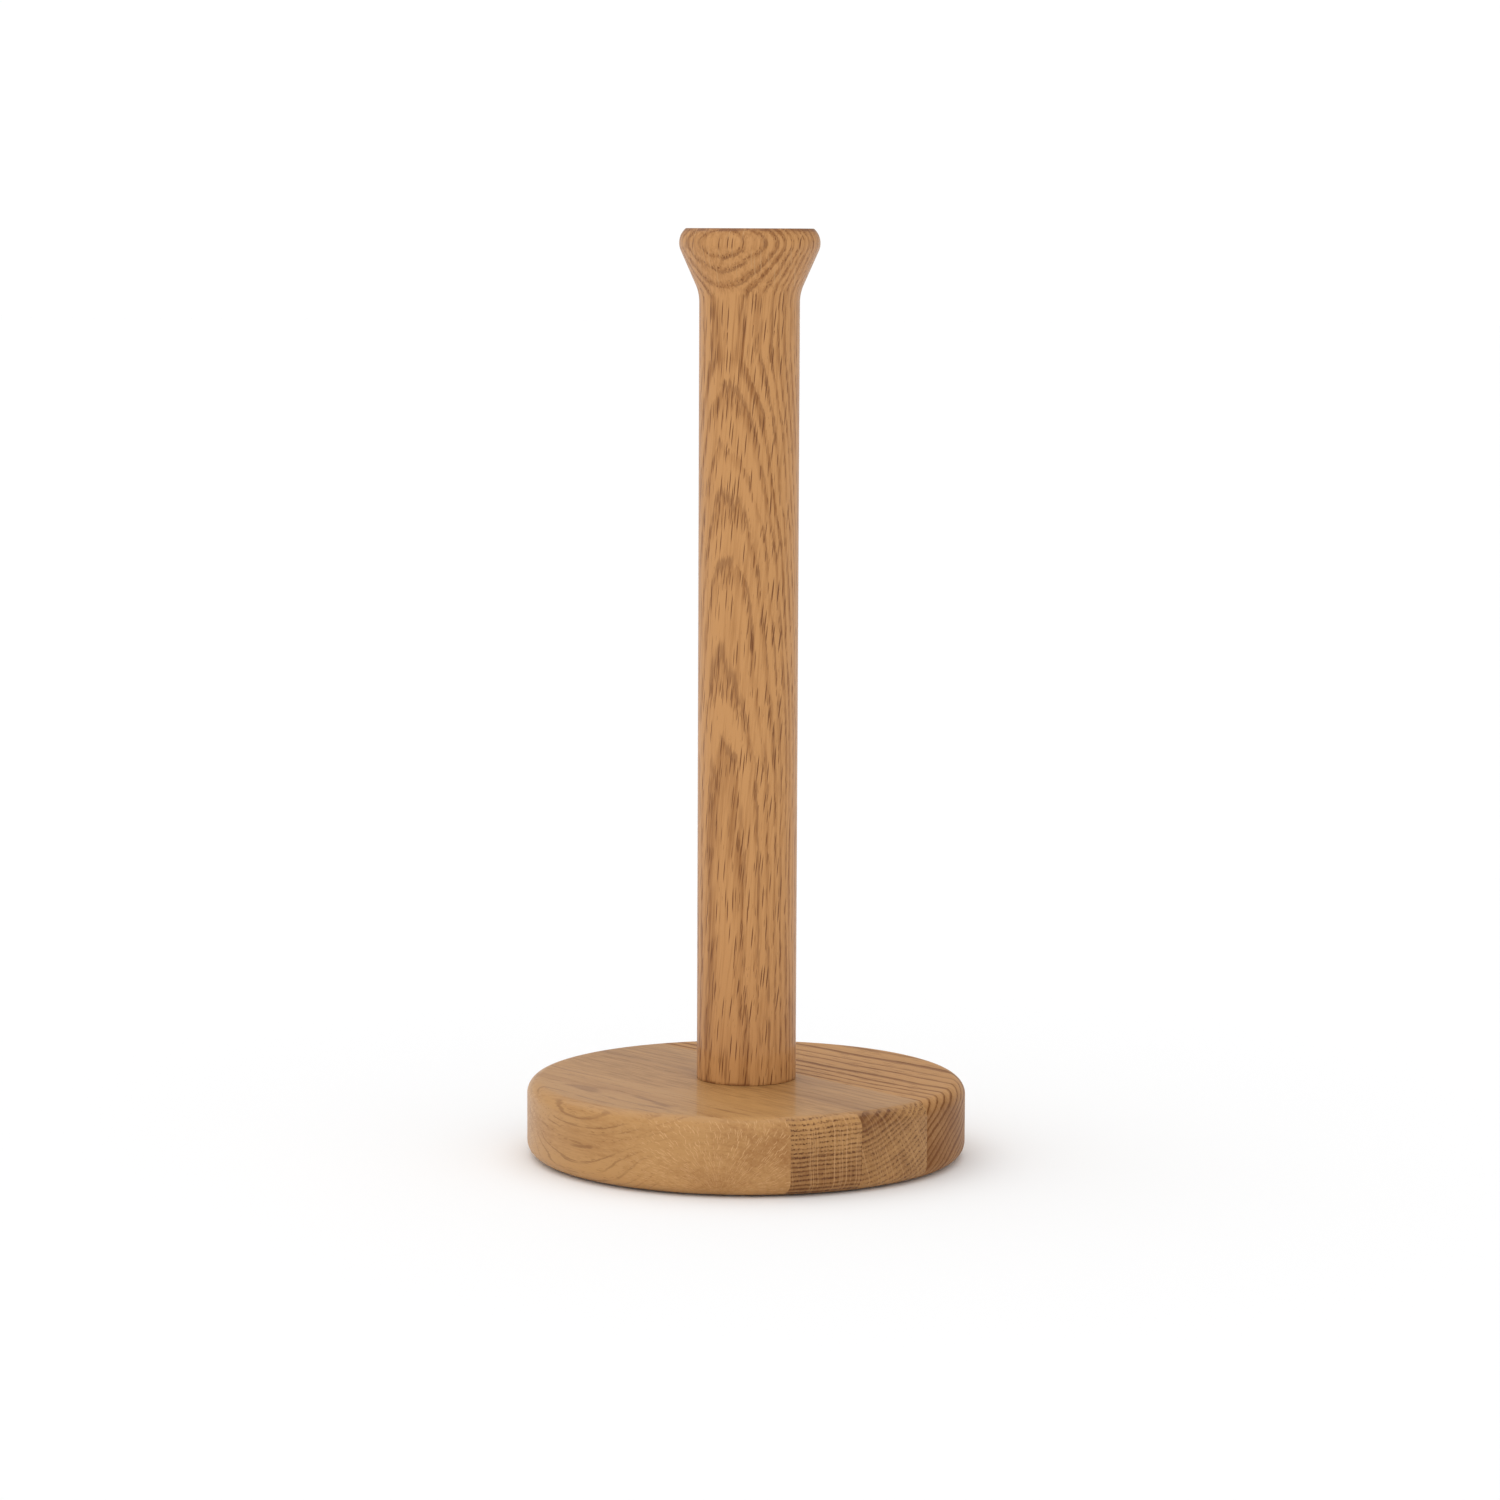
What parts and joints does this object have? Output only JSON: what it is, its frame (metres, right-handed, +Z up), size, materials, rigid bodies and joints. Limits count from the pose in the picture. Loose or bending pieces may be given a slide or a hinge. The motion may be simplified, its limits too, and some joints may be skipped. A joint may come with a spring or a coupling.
{
  "type": "candlestick",
  "caption": "Turned oak candlestick: a round edge-glued base, a straight column with a flared head, and a loose brass cup in the head for a dinner candle.",
  "frame": {"origin": "on the table, under the middle of the round base", "axes": "+Z up along the column's axis; -Y is the front and +X is to the right seen from the front; the base's fibres run from the back left to the front right, 40 degrees round from -Y towards +X"},
  "size_m": [0.15, 0.15, 0.3155],
  "materials": {
    "oak_stave_1": "satin lacquered oak, light honey",
    "oak_stave_2": "satin lacquered oak, mid brown",
    "oak_stave_3": "satin lacquered oak, mid brown",
    "oak_stave_4": "satin lacquered oak, darker reddish brown",
    "oak_column": "satin lacquered oak, plain sawn",
    "brass_cup": "fine turned, lightly brushed",
    "zinc_bolt": "zinc plated",
    "zinc_washer": "zinc plated",
    "brass_insert": "machined",
    "felt": "pressed brown wool felt"
  },
  "bodies": {
    "stand": {"base_stave_1": "oak_stave_1", "base_stave_2": "oak_stave_2", "base_stave_3": "oak_stave_3", "base_stave_4": "oak_stave_4", "column": "oak_column", "clamp_bolt": "zinc_bolt", "bolt_washer": "zinc_washer", "threaded_insert": "brass_insert", "felt_pad": "felt"},
    "cup": {"candle_cup": "brass_cup"}
  },
  "joints": [
    {"name": "cup_lift", "type": "slide", "parent": "stand", "child": "cup", "axis": [0, 0, 1], "range_m": [0, 0.025]}
  ]
}
